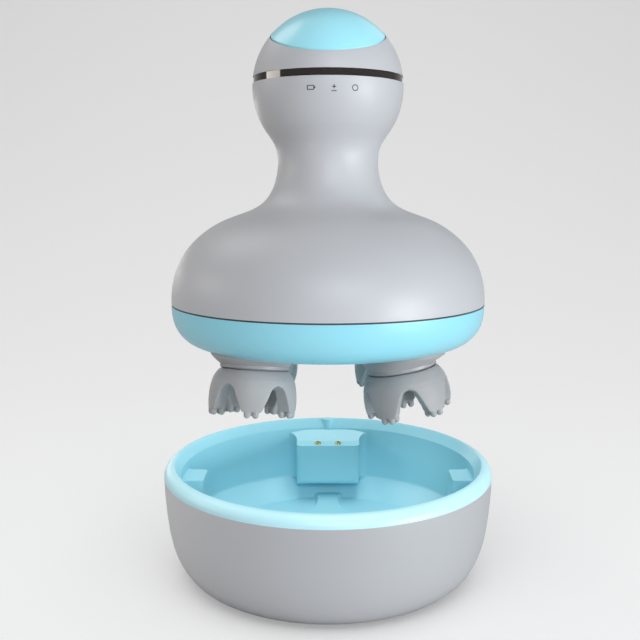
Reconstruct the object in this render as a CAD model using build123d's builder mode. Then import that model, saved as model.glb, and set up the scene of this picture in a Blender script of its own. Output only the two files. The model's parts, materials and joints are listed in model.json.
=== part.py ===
from build123d import *

import os
from math import acos, atan2, cos, degrees, pi, radians, sin, sqrt, tan

# Electric scalp massager with four kneading heads, lifted above its round charging dock.
# Millimetres, +Z up, front of the object towards -Y, origin at the centre of the dock's foot plane.
# The handset slides straight down by hover_travel until its base rests on the dock's two lugs.

# ---- Shared fits and joins ----
join = 0.5
past = 1.0
snug_gap = 0.02
running_gap = 0.05
loose_gap = 0.1
fit_gap = 0.15
head_gap = 0.2

# ---- Driving dimensions: dock ----
dock_outer_radius = 64.8
foot_radius = 5.0
foot_inset = 8.2
foot_count = 4
foot_recess = 0.8
dock_plate_z = 1.0
dock_plate_thickness = 2.0
dock_taper = 11.6
dock_seam_z = 40.2
dock_height = 44.4
dock_wall = 2.2
dock_lip = 2.0
rim_shoulder_in = 1.1
rim_shoulder_drop = 1.4
rim_skirt = 3.2
tray_wall = 1.8
rim_width = 4.1
band_width = 2.5
band_drop = 4.0
floor_z = 10.0
floor_rise = 7.9
floor_cone_width = 10.2
floor_blend = 1.2
plateau_height = 2.2
plateau_reach = 50.0
plateau_taper = 30.0
lobe_shift = 2.5
lobe_spare = 6.0
lug_top_z = 37.0
lug_length = 8.8
lug_width = 14.0
lug_round = 1.5
lug_blend = 3.0
tab_bite = 0.08
block_depth = 15.0
block_half_width = 14.3
block_bottom_z = 17.5
block_drop = 1.0
block_flat = 8.0
block_floor = 4.8
block_round = 2.6
block_blend = 4.0
block_wall = 2.0
slope_in = 1.2
slope_drop = 0.8
peg_width = 4.8
peg_reach = 3.1
peg_root = 2.2
pin_spacing = 9.2
pin_inset = 3.6
pin_radius = 1.5
pin_protrusion = 0.9
pin_travel = 0.8
pin_round = 0.6
barrel_radius = 2.1
barrel_floor = 1.0
board_thickness = 1.2
board_overhang = 1.5
dock_screw_inset = 15.2
dock_screw_angles = [0.0, 90.0, 180.0, 270.0]
inlet_width = 8.9
inlet_height = 3.2
inlet_depth = 7.3
inlet_wall = 0.35
inlet_tongue = 0.7
inlet_recess = 0.6
inlet_clearance = 0.3
inlet_foot = 1.6
inlet_lift = 0.3

# ---- Driving dimensions: handset ----
hover_travel = 54.8
seat_gap = 0.2
rim_clearance = 0.6
seam_height = 15.8
seam_thickness = 0.6
seam_recess = 0.3
base_flat_inset = 15.7
neck_radius = 19.2
knob_radius = 28.3
knob_height = 96.1
knob_exit_angle = 30.6
shell_wall = 2.4
slot_low = 1.2
slot_height = 2.6
window_recess = 0.25
window_depth = 1.9
cap_tilt = 22.0
cap_offset = 19.2
cap_gap = 0.3
cap_thickness = 2.0
cap_skirt = 3.4
cap_skirt_wall = 1.4
button_travel = 0.8
guide_wall = 1.5
guide_depth = 6.0
spigot_wall = 1.6
spigot_depth = 5.4
spigot_rise = 2.6
shelf_width = 3.8
shelf_depth = 1.8
tongue_wall = 1.4
tongue_rise = 2.4
tongue_root = 4.4
tongue_foot = 2.0
pad_wall = 0.9
pad_flange = 0.5
peg_clearance = 0.6
notch_depth = 8.0
notch_spare = 0.8

# Side of the dock's shell: inset from its outer radius, height
dock_side = [(0.7, 27.0), (2.7, 14.0), (6.6, 5.2)]
dock_foot_heading = (-1.0, -0.25)
# Shoulder of the shell: inset from the rim, height above the seam
shoulder = [(27.6, 33.9), (20.3, 31.2), (13.0, 26.9), (6.5, 20.6), (2.1, 12.8), (0.3, 5.4)]
# Waist: widening over the neck's radius, share of the way from the shoulder's top to the knob
waist = [(0.7, 0.778), (0.0, 0.509), (1.7, 0.3), (5.7, 0.122)]
# Rounded lower edge of the base cover: inset from the rim, height
base_round = [(0.9, 8.6), (5.5, 2.4)]

# ---- Driving dimensions: heads ----
head_inset = 22.6
head_angles = [45.0, 135.0, 225.0, 315.0]
head_turns = [36.0, 0.0, 39.5, 0.0]
lean_lead = 27.0
tilt = 11.3
pivot_drop = 3.4
finger_count = 5
nub_radius = 1.1
nub_length = 2.4
nub_pitch = 3.0
nub_root = 0.4
tip_drop = 17.0
tip_outer = 15.5
tip_inner = 9.6
bulge_radius = 15.9
bulge_drop = 8.5
shoulder_in = 1.3
shoulder_drop = 2.2
hollow_drop = 2.2
hollow_rise = 0.6
collar_radius = 12.0
collar_drop = 2.6
lip_out = 0.5
lip_in = 0.4
lip_height = 1.65
lip_step = 0.6
cup_in = 2.0
cup_depth = 1.0
arch_apex = 8.0
arch_half_top = 3.4
arch_half_bottom = 4.5
core_radius = 6.0
core_length = 10.5
bearing_drop = 5.2
bearing_wall = 1.9
crank_pin_radius = 3.0
crank_pin_length = 9.0
pin_end_gap = 0.3
skirt_hole_radius = 16.2
skirt_radius = 15.9
skirt_neck_radius = 12.2
skirt_neck_drop = 0.7
skirt_wall = 1.2
cuff_lift = 0.6
cuff_ring_wall = 1.4
cuff_ring_lift = 1.4

# ---- Driving dimensions: gear train ----
pressure_angle = 20.0
backlash = 0.16
addendum = 0.8
dedendum = 1.15
flank_steps = 3
output_teeth = 40
sun_teeth = 60
sun_upper_teeth = 44
pinion_teeth = 12
wheel_teeth = 44
gear_face = 4.0
wheel_face = 3.6
level_gap = 0.8
sun_hub_wall = 5.0
journal_radius = 4.0
shoulder_wall = 1.2
stub_radius = 2.5
sun_axle_radius = 2.0
compound_axle_radius = 1.5
motor_shaft_radius = 1.0
axle_floor = 0.6
axle_end_gap = 0.4

# ---- Driving dimensions: chassis ----
lower_plate_drop = 3.4
plate_thickness = 2.2
lower_plate_inset = 8.6
upper_plate_inset = 10.1
post_inset = 14.1
post_angles = [15.0, 105.0, 195.0, 285.0]
post_radius = 3.5
boss_wall = 0.5
screw_radius = 1.2
screw_grip = 6.0
screw_head_radius = 2.4
screw_head_height = 1.4
small_head_radius = 1.9
small_head_height = 0.7
bush_wall = 1.2
motor_radius = 12.2
motor_length = 22.0
motor_boss_radius = 3.5
motor_boss_gap = 0.4
motor_cap_inset = 3.2
motor_cap_height = 1.4
motor_shaft_reach = 6.0
motor_screw_spacing = 17.0
motor_screw_reach = 2.5
leg_ring_radius = 20.5
leg_angles = [30.0, 150.0, 270.0]
leg_radius = 3.2
leg_pin_radius = 2.0
board_lift = 12.4
board_outer = 37.0
board_inner = 14.5
main_board_thickness = 1.6
deck_lift = 24.2
deck_radius = 24.5
deck_thickness = 2.0
battery_radius = 9.2
battery_length = 35.0
terminal_radius = 3.2
terminal_height = 1.0
cradle_wall = 1.4
cradle_floor = 1.6
cradle_height = 28.0
frame_radius = 23.6
frame_thickness = 2.0
switch_size = 6.0
switch_height = 3.4
plunger_radius = 1.7
plunger_length = 1.9
plunger_proud = 1.0
post_size = 2.4
button_board_radius = 10.5
button_board_offset = 7.0
# Parts on the main board: length, width, height, then the place of the middle
board_blocks = [
    (7.0, 7.0, 1.2, (-27.0, 0.0)),
    (6.0, 5.0, 3.0, (26.0, 6.0)),
    (10.0, 5.0, 4.5, (0.0, 30.0)),
    (5.0, 4.0, 1.5, (-20.0, 20.0)),
]
capacitor_places = [(24.0, -12.0), (12.0, -28.0)]
capacitor_radius = 2.5
capacitor_height = 5.0
lamp_places = [-7.0, 0.0, 7.0]
lamp_length = 2.0
lamp_depth = 1.4
lamp_board_width = 24.0
lamp_board_y = -19.0
lamp_board_rise = 3.0

# ---- Places worked out from the dimensions ----
opening_radius = dock_outer_radius - rim_width
cavity_radius = opening_radius - band_width
dock_bottom_radius = dock_outer_radius - dock_taper
foot_ring_radius = dock_bottom_radius - foot_inset
dock_screw_ring_radius = dock_bottom_radius - dock_screw_inset
floor_flat_radius = cavity_radius - floor_cone_width
floor_edge_z = floor_z + floor_rise
lug_inner_x = cavity_radius - lug_length
block_front_y = cavity_radius - block_depth
pin_y = block_front_y + pin_inset
rim_radius = opening_radius - rim_clearance
base_flat_radius = rim_radius - base_flat_inset
lower_plate_radius = rim_radius - lower_plate_inset
upper_plate_radius = rim_radius - upper_plate_inset
post_ring_radius = rim_radius - post_inset
head_ring_radius = rim_radius - head_inset
gear_module = 2 * head_ring_radius / (sun_teeth + output_teeth)
lobe_offset = head_ring_radius + lobe_shift
lobe_radius = lobe_offset - lobe_spare
base_z = lug_top_z + seat_gap + hover_travel
seam_z = base_z + seam_height
knob_z = base_z + knob_height
slot_low_z = knob_z + slot_low
slot_high_z = slot_low_z + slot_height
lower_plate_z = base_z + lower_plate_drop
level_a = lower_plate_z + plate_thickness + level_gap
level_b = level_a + gear_face + level_gap
level_c = level_b + gear_face + level_gap
upper_plate_z = level_c + wheel_face + level_gap
deck_z = upper_plate_z + plate_thickness
compound_y = gear_module * (pinion_teeth + wheel_teeth) / 2
compound_direction = 90.0
block_top_z = lug_top_z - block_drop
band_z = dock_height - band_drop
cap_radius = sqrt(knob_radius**2 - cap_offset**2)
guide_radius = cap_radius + cap_gap + guide_wall
guide_top = sqrt(knob_radius**2 - guide_radius**2)
knob_inner = knob_radius - shell_wall
spigot_radius = sqrt(knob_inner**2 - (slot_high_z - knob_z) ** 2) - fit_gap
window_radius = sqrt(knob_radius**2 - (slot_high_z - knob_z) ** 2) - window_recess
shelf_z = slot_high_z - spigot_depth - frame_thickness - fit_gap
disc_z = shelf_z + snug_gap
board_z = deck_z + board_lift
cup_z = deck_z + deck_lift
sides = (-1, 1)

knob_frame_plane = Plane(
    origin=(0, 0, knob_z),
    x_dir=(1, 0, 0),
    z_dir=(0, -sin(radians(cap_tilt)), cos(radians(cap_tilt))),
)


def save(piece, label):
    """Label a finished piece and write its STEP file."""
    piece.label = label
    export_step(piece, f"parts/{label}.step")


def polar(radius, angle, height=0.0):
    """Point at a radius and an angle in degrees about the main axis."""
    return (radius * cos(radians(angle)), radius * sin(radians(angle)), height)


def section_of(frame):
    """Plane through a frame's axis whose X runs outwards and whose Y runs along the axis."""
    return Plane(frame.origin, x_dir=frame.x_dir, z_dir=-frame.y_dir)


def turned(outline, frame=Plane.XY):
    """Solid turned from a closed (radius, height) outline about a frame's Z axis."""
    with BuildPart() as body:
        with BuildSketch(section_of(frame)):
            with BuildLine():
                Polyline(*outline, close=True)
            make_face()
        revolve(axis=Axis(frame.origin, frame.z_dir))
    return body.part


def tube(low, high, outer, inner=0.0, frame=Plane.XY):
    """Plain round bar or tube between two heights of a frame."""
    with BuildPart() as body:
        with BuildSketch(frame.offset(low)):
            Circle(outer)
            if inner:
                Circle(inner, mode=Mode.SUBTRACT)
        extrude(amount=high - low)
    return body.part


def rods(points, radius, low, high):
    """Equal upright round bars at several places."""
    with BuildPart() as body:
        with BuildSketch(Plane.XY.offset(low)):
            with Locations(*[(x, y) for x, y, *_ in points]):
                Circle(radius)
        extrude(amount=high - low)
    return body.part


def block(x_size, y_size, low, high, centre=(0.0, 0.0)):
    """Upright rectangular bar between two heights."""
    with BuildPart() as body:
        with BuildSketch(Plane.XY.offset(low)):
            with Locations(centre):
                Rectangle(x_size, y_size)
        extrude(amount=high - low)
    return body.part


def smooth(points, tangents):
    """Spline through points whose end tangents are one unit long, so that it never overshoots."""
    return Spline(*points, tangents=tangents, tangent_scalars=(1.0, 1.0))


def inward(edge, wall, steps=12):
    """Curve a wall's depth inside an edge that runs down the right side of an outline."""
    points = []
    for step in range(steps + 1):
        along = edge % (step / steps)
        points.append(edge @ (step / steps) + Vector(along.Y, -along.X) * wall)
    return smooth(points, [edge % 0, edge % 1])


def wall_tab(front, half_width, blend, low, high, heading):
    """Upright tab that stands inwards from the cavity's wall, with concave arcs at its roots."""
    side_y = half_width + blend
    centre_reach = cavity_radius - (1 - tab_bite) * blend
    side_x = sqrt(centre_reach**2 - side_y**2)
    touch = Vector(side_x, side_y) * ((centre_reach + blend) / centre_reach)
    buried = Vector(side_x, side_y) * ((cavity_radius + join) / centre_reach)
    sweep = degrees(atan2(touch.Y - side_y, touch.X - side_x)) + 90
    with BuildPart() as body:
        with BuildSketch(Plane((0, 0, low), x_dir=heading)):
            with BuildLine():
                Polyline(
                    (side_x, half_width),
                    (front, half_width),
                    (front, -half_width),
                    (side_x, -half_width),
                )
                CenterArc((side_x, side_y), blend, -90, sweep)
                CenterArc((side_x, -side_y), blend, 90, -sweep)
                Line(touch, buried)
                Line((touch.X, -touch.Y), (buried.X, -buried.Y))
                ThreePointArc(buried, (cavity_radius + join, 0), (buried.X, -buried.Y))
            make_face()
        extrude(amount=high - low)
    return body.part


def handset_wall(low, high):
    """Turned wall of the handset's one smooth outline, kept between two heights."""
    exit_angle = radians(-knob_exit_angle)
    leave = (knob_radius * cos(exit_angle), knob_z + knob_radius * sin(exit_angle))
    tangent = (sin(exit_angle), -cos(exit_angle))
    bell = [(rim_radius - inset, seam_z + height) for inset, height in shoulder]
    bell_top = bell[0][1]
    neck = [
        (neck_radius + widening, bell_top + share * (leave[1] - bell_top))
        for widening, share in waist
    ]
    rounding = [(rim_radius - inset, base_z + height) for inset, height in base_round]
    with BuildPart() as wall:
        with BuildSketch(Plane.XZ):
            with BuildLine():
                knob = CenterArc((0, knob_z), knob_radius, 90, -(90 + knob_exit_angle))
                side = smooth([leave, *neck, *bell, (rim_radius, seam_z)], [tangent, (0, -1)])
                lower = smooth(
                    [(rim_radius, seam_z), *rounding, (base_flat_radius, base_z)],
                    [(0, -1), (-1, 0)],
                )
                CenterArc((0, knob_z), knob_inner, 90, -(90 + knob_exit_angle))
                inward(side, shell_wall)
                inward(lower, shell_wall)
                Line(lower @ 1, (0, base_z))
                Line((0, base_z), (0, base_z + shell_wall))
                Line((0, base_z + shell_wall), (base_flat_radius, base_z + shell_wall))
                Line((0, knob_z + knob_inner), knob @ 0)
            make_face()
            with Locations((0, low)):
                Rectangle(
                    2 * rim_radius, high - low, align=(Align.MIN, Align.MIN), mode=Mode.INTERSECT
                )
        revolve(axis=Axis.Z)
    return wall.part


def gear_outline(teeth, turn):
    """Corner points of an involute gear's outline, with one tooth centred at a turn in degrees."""
    pitch = gear_module * teeth / 2
    base = pitch * cos(radians(pressure_angle))
    tip = pitch + addendum * gear_module
    root = pitch - dedendum * gear_module
    half = pi / (2 * teeth) - backlash / (4 * pitch)
    roll = tan(radians(pressure_angle)) - radians(pressure_angle)
    start = max(base, root)
    flank = []
    for step in range(flank_steps + 1):
        radius = start + (tip - start) * step / flank_steps
        angle = acos(min(1.0, base / radius))
        flank.append((radius, half + roll - (tan(angle) - angle)))
    if root < base:
        flank.insert(0, (root, flank[0][1]))
    points = []
    for tooth in range(teeth):
        middle = radians(turn) + 2 * pi * tooth / teeth
        for radius, away in flank:
            points.append((radius * cos(middle - away), radius * sin(middle - away)))
        for radius, away in reversed(flank):
            points.append((radius * cos(middle + away), radius * sin(middle + away)))
    return points


def gear(teeth, turn, low, face, bore, centre=(0.0, 0.0)):
    """Spur gear blank with cut teeth and a plain bore."""
    with BuildPart() as body:
        with BuildSketch(Plane.XY.offset(low)):
            with Locations(centre):
                with BuildLine(Location(centre)):
                    Polyline(*gear_outline(teeth, turn), close=True)
                make_face()
                Circle(bore, mode=Mode.SUBTRACT)
        extrude(amount=face)
    return body.part


def meshed_turn(teeth, turn, direction, mate_teeth):
    """Turn of a gear's mate, which lies in the given direction, so that a tooth meets a gap."""
    share = (direction - turn) * teeth / 360
    return direction + 180 - 360 * (0.5 - share) / mate_teeth


def head_frame(angle):
    """Frame of a head: origin at its pivot, Z up its leaning axis."""
    lean = radians(angle + lean_lead)
    up = Vector(-sin(radians(tilt)) * cos(lean), -sin(radians(tilt)) * sin(lean), cos(radians(tilt)))
    across = Vector(1, 0, 0) - up * up.X
    pivot = polar(head_ring_radius, angle, base_z - pivot_drop)
    return Plane(origin=pivot, x_dir=across, z_dir=up)


os.makedirs("parts", exist_ok=True)

# ======== Dock ========

pocket_front_y = pin_y - barrel_radius - fit_gap
pocket_half_width = block_half_width - block_wall
pocket_top_z = block_top_z - block_wall
pocket_low_z = block_bottom_z + block_floor
pin_points = [(side * pin_spacing / 2, pin_y) for side in sides]
screw_points = [polar(dock_screw_ring_radius, angle) for angle in dock_screw_angles]
foot_points = [polar(foot_ring_radius, 360 * (n + 0.5) / foot_count) for n in range(foot_count)]
board_low = pocket_low_z + running_gap
barrel_low = board_low + board_thickness
inlet_z = barrel_low + inlet_lift

with BuildPart() as dock_shell:
    with BuildSketch(Plane.XZ):
        with BuildLine():
            side = smooth(
                [
                    (dock_outer_radius, dock_seam_z),
                    *[(dock_outer_radius - inset, height) for inset, height in dock_side],
                    (dock_bottom_radius, dock_plate_z),
                ],
                [(0, -1), dock_foot_heading],
            )
            inner = inward(side, dock_wall)
            Line(side @ 0, inner @ 0)
            Polyline(
                side @ 1,
                (dock_bottom_radius - dock_lip, dock_plate_z),
                (dock_bottom_radius - dock_lip, (inner @ 1).Y),
                inner @ 1,
            )
        make_face()
    revolve(axis=Axis.Z)
    with BuildSketch(Plane.XZ.offset(-dock_outer_radius)):
        with Locations((0, inlet_z + inlet_height / 2)):
            SlotOverall(inlet_width + 2 * inlet_clearance, inlet_height + 2 * inlet_clearance)
    extrude(amount=inlet_depth, mode=Mode.SUBTRACT)
save(dock_shell.part, "dock_shell")

# Charging block: a flat shelf for the pins and a slope up to the seat band behind it.
with BuildPart() as charging_block:
    add(
        wall_tab(
            block_front_y, block_half_width, block_blend, block_bottom_z, dock_height, (0, 1, 0)
        )
    )
    slope_top_z = band_z - slope_drop
    with BuildSketch(Plane.YZ.offset(-cavity_radius)):
        with BuildLine():
            Polyline(
                (0, block_bottom_z),
                (0, block_top_z),
                (block_front_y + block_flat, block_top_z),
                (cavity_radius - slope_in, slope_top_z),
                (cavity_radius + past, slope_top_z),
                (cavity_radius + past, block_bottom_z),
                close=True,
            )
        make_face()
    extrude(amount=2 * cavity_radius, mode=Mode.INTERSECT)
    front_face = charging_block.faces().sort_by(Axis.Y)[0]
    fillet(front_face.edges().filter_by(lambda edge: edge.center().Z < block_top_z - join), block_round)

with BuildPart() as dock_tray:
    # Rim, conical seat band, cavity wall and dished floor turned in one go.
    rim_inner = dock_outer_radius - dock_wall - fit_gap
    with BuildSketch(Plane.XZ):
        with BuildLine():
            ThreePointArc(
                (dock_outer_radius, dock_seam_z),
                (dock_outer_radius - rim_shoulder_in, dock_height - rim_shoulder_drop),
                (opening_radius, dock_height),
            )
            Polyline(
                (opening_radius, dock_height),
                (cavity_radius, band_z),
                (cavity_radius, floor_edge_z),
                (floor_flat_radius, floor_z),
                (0, floor_z),
                (0, floor_z - tray_wall),
                (floor_flat_radius + tray_wall / 3, floor_z - tray_wall),
                (cavity_radius + tray_wall, floor_edge_z - tray_wall / 2),
                (cavity_radius + tray_wall, band_z - tray_wall),
                (rim_inner, dock_seam_z - rim_skirt),
                (rim_inner, dock_seam_z),
                (dock_outer_radius, dock_seam_z),
            )
        make_face()
    revolve(axis=Axis.Z)
    cavity_corner = dock_tray.edges().filter_by(GeomType.CIRCLE).filter_by(
        lambda edge: abs(edge.center().Z - floor_edge_z) < 0.01
    )
    fillet(cavity_corner, floor_blend)
    # Raised star between the four round lobes that take the heads.
    with BuildSketch(Plane.XY.offset(floor_z - join)):
        Circle(plateau_reach)
        with GridLocations(2 * lobe_offset, 2 * lobe_offset, 2, 2):
            Circle(lobe_radius, mode=Mode.SUBTRACT)
    extrude(amount=plateau_height + join, taper=plateau_taper)
    # Lugs that carry the handset, blended into the wall.
    for side in sides:
        add(
            wall_tab(lug_inner_x, lug_width / 2, lug_blend, floor_z + past, lug_top_z, (side, 0, 0))
        )
    fillet(
        dock_tray.edges().filter_by(Axis.Z).filter_by(
            lambda edge: abs(abs(edge.center().X) - lug_inner_x) < 0.01
        ),
        lug_round,
    )
    add(charging_block.part)
    # Locating peg at the back of the opening.
    with BuildSketch(Plane.XY.offset(band_z - peg_root)):
        with Locations((0, opening_radius - peg_reach + peg_width / 2)):
            Circle(peg_width / 2)
            Rectangle(peg_width, peg_reach + join - peg_width / 2, align=(Align.CENTER, Align.MIN))
    extrude(amount=dock_height - band_z + peg_root - head_gap)
    # Pocket for the charging electronics, open to the back, and the pins' holes.
    with BuildSketch(Plane.XY.offset(pocket_low_z)):
        with Locations((0, pocket_front_y)):
            Rectangle(
                2 * pocket_half_width,
                cavity_radius + 2 * tray_wall - pocket_front_y,
                align=(Align.CENTER, Align.MIN),
            )
    extrude(amount=pocket_top_z - pocket_low_z, mode=Mode.SUBTRACT)
    with BuildSketch(Plane.XY.offset(pocket_top_z - join)):
        with Locations(*pin_points):
            Circle(pin_radius + loose_gap)
    extrude(amount=block_top_z - pocket_top_z + join + past, mode=Mode.SUBTRACT)
    # Screw bosses under the floor.
    with BuildSketch(Plane.XY.offset(dock_plate_z + dock_plate_thickness)):
        with Locations(*[(x, y) for x, y, _ in screw_points]):
            Circle(post_radius)
    extrude(amount=floor_z - tray_wall / 2 - dock_plate_z - dock_plate_thickness)
    with BuildSketch(Plane.XY.offset(dock_plate_z)):
        with Locations(*[(x, y) for x, y, _ in screw_points]):
            Circle(screw_radius)
    extrude(amount=floor_z - dock_plate_z - past, mode=Mode.SUBTRACT)
save(dock_tray.part, "dock_tray")

with BuildPart() as dock_bottom:
    plate_low = dock_plate_z - past
    head_recess_z = dock_plate_z + screw_head_height
    add(
        tube(
            dock_plate_z,
            dock_plate_z + dock_plate_thickness,
            dock_bottom_radius - dock_lip - fit_gap,
        )
    )
    add(rods(screw_points, screw_radius + loose_gap, plate_low, floor_z), mode=Mode.SUBTRACT)
    add(
        rods(screw_points, screw_head_radius + head_gap, plate_low, head_recess_z),
        mode=Mode.SUBTRACT,
    )
    add(
        rods(foot_points, foot_radius + loose_gap, plate_low, dock_plate_z + foot_recess),
        mode=Mode.SUBTRACT,
    )
save(dock_bottom.part, "dock_bottom")

with BuildPart() as dock_feet:
    add(rods(foot_points, foot_radius, 0, dock_plate_z + foot_recess))
save(dock_feet.part, "dock_feet")

with BuildPart() as dock_screws:
    add(rods(screw_points, screw_head_radius, dock_plate_z + loose_gap, head_recess_z))
    add(rods(screw_points, screw_radius - running_gap, dock_plate_z + past, floor_z - past - fit_gap))
save(dock_screws.part, "dock_screws")

with BuildPart() as dock_board:
    board_front_y = pocket_front_y + loose_gap
    board_back_y = cavity_radius + board_overhang
    add(
        block(
            2 * pocket_half_width - past,
            board_back_y - board_front_y,
            board_low,
            board_low + board_thickness,
            (0, (board_front_y + board_back_y) / 2),
        )
    )
save(dock_board.part, "dock_board")

with BuildPart() as pin_barrels:
    add(rods(pin_points, barrel_radius, barrel_low, pocket_top_z - running_gap))
    add(
        rods(pin_points, pin_radius + running_gap, barrel_low + barrel_floor, block_top_z),
        mode=Mode.SUBTRACT,
    )
save(pin_barrels.part, "pin_barrels")

for label, (pin_x, pin_at_y) in zip(("charge_pin_left", "charge_pin_right"), pin_points):
    pin_top = block_top_z + pin_protrusion
    pin_low = barrel_low + 2 * barrel_floor + pin_travel
    with BuildPart() as charge_pin:
        with BuildSketch(Plane.XY.offset(pin_low)):
            with Locations((pin_x, pin_at_y)):
                Circle(pin_radius)
        extrude(amount=pin_top - pin_low)
        fillet(charge_pin.edges().filter_by(GeomType.CIRCLE).sort_by(Axis.Z)[-1], pin_round)
    save(charge_pin.part, label)

with BuildPart() as power_inlet:
    inlet_y = dock_outer_radius - inlet_recess
    with BuildSketch(Plane.XZ.offset(-inlet_y)):
        with Locations((0, inlet_z + inlet_height / 2)):
            SlotOverall(inlet_width, inlet_height)
    extrude(amount=inlet_depth)
    with BuildSketch(Plane.XZ.offset(-inlet_y)):
        with Locations((0, inlet_z + inlet_height / 2)):
            SlotOverall(inlet_width - 2 * inlet_wall, inlet_height - 2 * inlet_wall)
            Rectangle(inlet_width - inlet_height + inlet_wall, inlet_tongue, mode=Mode.SUBTRACT)
    extrude(amount=inlet_depth - board_thickness, mode=Mode.SUBTRACT)
    with BuildSketch(Plane.XY.offset(barrel_low + snug_gap)):
        with Locations((0, inlet_y - inlet_depth + inlet_foot / 2)):
            Rectangle(inlet_width - inlet_height, inlet_foot)
    extrude(amount=inlet_lift + inlet_wall / 2)
save(power_inlet.part, "power_inlet")

# ======== Handset shells ========

with BuildPart() as main_shell:
    add(handset_wall(seam_z + seam_thickness / 2, slot_low_z))
    add(
        turned(
            [
                (knob_inner - shelf_width, shelf_z - shelf_depth),
                (knob_inner - join, shelf_z - shelf_depth),
                (knob_inner + join / 2, shelf_z),
                (knob_inner - shelf_width, shelf_z),
            ]
        )
    )
save(main_shell.part, "main_shell")

with BuildPart() as crown_shell:
    spigot_low = slot_high_z - spigot_depth
    add(handset_wall(slot_high_z, knob_z + knob_radius + past))
    add(
        turned(
            [
                (spigot_radius - spigot_wall, spigot_low),
                (spigot_radius, spigot_low),
                (spigot_radius, slot_high_z + past),
                (spigot_radius - spigot_wall, slot_high_z + spigot_rise),
            ]
        )
    )
    add(tube(cap_offset - guide_depth, guide_top - join, guide_radius, frame=knob_frame_plane))
    add(
        tube(0, knob_radius + past, cap_radius + cap_gap, frame=knob_frame_plane),
        mode=Mode.SUBTRACT,
    )
    add(tube(shelf_z - knob_radius, spigot_low, knob_radius + past), mode=Mode.SUBTRACT)
save(crown_shell.part, "crown_shell")

with BuildPart() as indicator_window:
    add(tube(slot_low_z, slot_high_z, window_radius, window_radius - window_depth))
save(indicator_window.part, "indicator_window")

with BuildPart() as seam_gasket:
    gasket_low = seam_z - seam_thickness / 2
    gasket_inner = rim_radius - shell_wall + head_gap
    add(tube(gasket_low, gasket_low + seam_thickness, rim_radius - seam_recess, gasket_inner))
save(seam_gasket.part, "seam_gasket")

head_points = [polar(head_ring_radius, angle) for angle in head_angles]
post_points = [polar(post_ring_radius, angle) for angle in post_angles]
pad_radius = pin_radius + pad_wall
under = base_z - past

with BuildPart() as base_cover:
    tongue_outer = rim_radius - shell_wall - fit_gap
    tongue_low = seam_z - tongue_root
    add(handset_wall(base_z - past, seam_z - seam_thickness / 2))
    add(tube(tongue_low, seam_z + tongue_rise, tongue_outer, tongue_outer - tongue_wall))
    add(
        tube(tongue_low, tongue_low + tongue_foot, tongue_outer + past, tongue_outer - tongue_wall)
    )
    add(rods(post_points, post_radius + boss_wall, base_z + past, lower_plate_z))
    add(rods(head_points, skirt_hole_radius, under, seam_z - tongue_root), mode=Mode.SUBTRACT)
    add(rods(post_points, screw_radius + loose_gap, under, seam_z), mode=Mode.SUBTRACT)
    add(
        rods(
            post_points, screw_head_radius + head_gap, under, base_z + screw_head_height + head_gap
        ),
        mode=Mode.SUBTRACT,
    )
    add(rods(pin_points, pad_radius, under, lower_plate_z), mode=Mode.SUBTRACT)
    # Notch that the dock's peg slides into.
    add(
        block(
            peg_width + 2 * peg_clearance,
            notch_depth,
            under,
            base_z + dock_height - lug_top_z + notch_spare,
            (0, opening_radius - peg_reach - peg_clearance + notch_depth / 2),
        ),
        mode=Mode.SUBTRACT,
    )
save(base_cover.part, "base_cover")

with BuildPart() as charge_pads:
    flange_z = base_z + shell_wall + join
    add(rods(pin_points, pad_radius - loose_gap, base_z, flange_z + loose_gap))
    add(rods(pin_points, pad_radius + pad_flange, flange_z, lower_plate_z - loose_gap))
save(charge_pads.part, "charge_pads")

# ======== Chassis and gear train ========

bush_outer = journal_radius + running_gap + bush_wall
cuff_inner = skirt_radius - skirt_wall
with BuildPart() as gearbox_lower:
    add(tube(lower_plate_z, lower_plate_z + plate_thickness, lower_plate_radius))
    add(rods(post_points, post_radius, lower_plate_z, upper_plate_z))
    # Rings under the plate that the skirts' cuffs are stretched over.
    add(rods(head_points, cuff_inner - loose_gap, base_z + cuff_ring_lift, lower_plate_z))
    add(
        rods(head_points, cuff_inner - loose_gap - cuff_ring_wall, base_z, lower_plate_z),
        mode=Mode.SUBTRACT,
    )
    add(rods(head_points, bush_outer, base_z, level_a), mode=Mode.SUBTRACT)
    add(
        rods(post_points, screw_radius, lower_plate_z - past, lower_plate_z + screw_grip + past),
        mode=Mode.SUBTRACT,
    )
    add(
        rods(post_points, screw_radius, upper_plate_z - screw_grip - past, upper_plate_z + past),
        mode=Mode.SUBTRACT,
    )
    add(
        tube(lower_plate_z + axle_floor, level_a, sun_axle_radius + snug_gap), mode=Mode.SUBTRACT
    )
save(gearbox_lower.part, "gearbox_lower")

leg_points = [polar(leg_ring_radius, angle) for angle in leg_angles]
motor_screw_points = [(side * motor_screw_spacing / 2, 0) for side in sides]

with BuildPart() as gearbox_upper:
    add(tube(upper_plate_z, deck_z, upper_plate_radius))
    with BuildSketch(Plane.XY.offset(upper_plate_z)):
        with Locations(*[(x, y) for x, y, _ in head_points]):
            Circle(stub_radius + running_gap)
        with Locations(*[(x, y) for x, y, _ in post_points]):
            Circle(screw_radius + loose_gap)
        with Locations(*motor_screw_points):
            Circle(screw_radius + loose_gap)
        with Locations((0, compound_y)):
            Circle(compound_axle_radius + snug_gap)
        Circle(motor_boss_radius + loose_gap)
    extrude(amount=plate_thickness, mode=Mode.SUBTRACT)
save(gearbox_upper.part, "gearbox_upper")

with BuildPart() as output_bushes:
    add(
        rods(head_points, bush_outer - snug_gap, lower_plate_z, lower_plate_z + plate_thickness)
    )
    add(
        rods(head_points, journal_radius + running_gap, lower_plate_z - past, level_a),
        mode=Mode.SUBTRACT,
    )
save(output_bushes.part, "output_bushes")

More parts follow.
